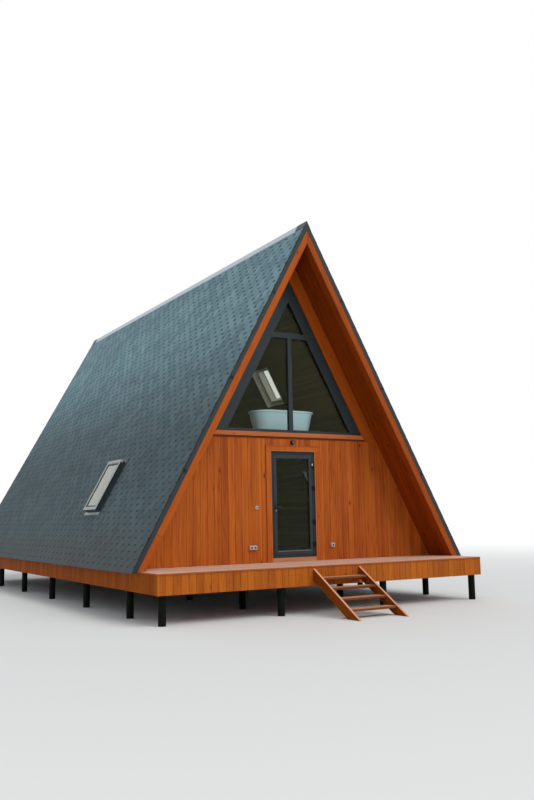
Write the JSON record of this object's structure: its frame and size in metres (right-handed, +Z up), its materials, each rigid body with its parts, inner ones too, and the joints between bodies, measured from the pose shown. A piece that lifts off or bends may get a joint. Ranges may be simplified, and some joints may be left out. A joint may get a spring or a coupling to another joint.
{
  "type": "a-frame cabin",
  "caption": "A-frame timber cabin on steel piles with a front deck, a stair, a hinged glazed door and a loft behind triangular gable glazing.",
  "frame": {"origin": "on the ground, at the middle of the plan's box, stair included", "axes": "+X to the right along the front, +Y into the building from the front, +Z up"},
  "size_m": [7.4874, 15.01, 7.6675],
  "materials": {
    "pile_steel": "satin black",
    "sawn_timber": "sawn",
    "deck_timber": "oiled, ribbed",
    "stained_boards": "translucent orange-brown stain",
    "soffit_boards": "translucent stain, in shade",
    "shingle": "mineral-faced bitumen",
    "flashing": "satin blue-grey",
    "ridge_metal": "satin pale grey",
    "window_profile": "anthracite foil",
    "glass": "clear",
    "handle_metal": "satin anthracite",
    "lamp_metal": "matt black",
    "fitting_plastic": "grey",
    "tub_acrylic": "gloss"
  },
  "bodies": {
    "building": {"bathtub": "tub_acrylic", "bearers": "sawn_timber", "deck_boards": "deck_timber", "deck_joists": "sawn_timber", "door_casing": "stained_boards", "door_frame": "window_profile", "door_threshold": "stained_boards", "fascias": "stained_boards", "floor_cassette": "sawn_timber", "front_gable": "stained_boards", "front_loft_window_frame": "window_profile", "front_loft_window_glass": "glass", "front_wall_left": "stained_boards", "front_wall_over_door": "stained_boards", "front_wall_right": "stained_boards", "hinge_pins": "window_profile", "inner_floor": "sawn_timber", "loft_floor": "sawn_timber", "pile_caps": "pile_steel", "piles": "pile_steel", "porch_lamp": "lamp_metal", "rake_flashings": "flashing", "rake_trims": "stained_boards", "rear_gable": "stained_boards", "rear_loft_window_frame": "window_profile", "rear_loft_window_glass": "glass", "rear_wall": "stained_boards", "rear_window_frame": "window_profile", "rear_window_glass": "glass", "ridge_cap": "ridge_metal", "roof_panel_left": "sawn_timber", "roof_panel_right": "sawn_timber", "roof_window_flashings": "flashing", "roof_window_frames": "window_profile", "roof_window_glass": "glass", "shingles_left": "shingle", "shingles_right": "shingle", "sill_boards": "stained_boards", "skirt_front": "stained_boards", "skirt_left": "stained_boards", "skirt_rear": "stained_boards", "skirt_right": "stained_boards", "soffits": "soffit_boards", "stair_stringers": "stained_boards", "stair_treads": "deck_timber", "wall_fittings": "fitting_plastic"},
    "door": {"door_leaf": "window_profile", "door_glass": "glass", "door_handles": "handle_metal", "hinge_sleeves": "window_profile"}
  },
  "joints": [
    {"name": "door_hinge", "type": "hinge", "parent": "building", "child": "door", "pos_m": [0.4615, -4.699, 1.945], "axis": [0, 0, 1], "range_deg": [0, 105]}
  ]
}
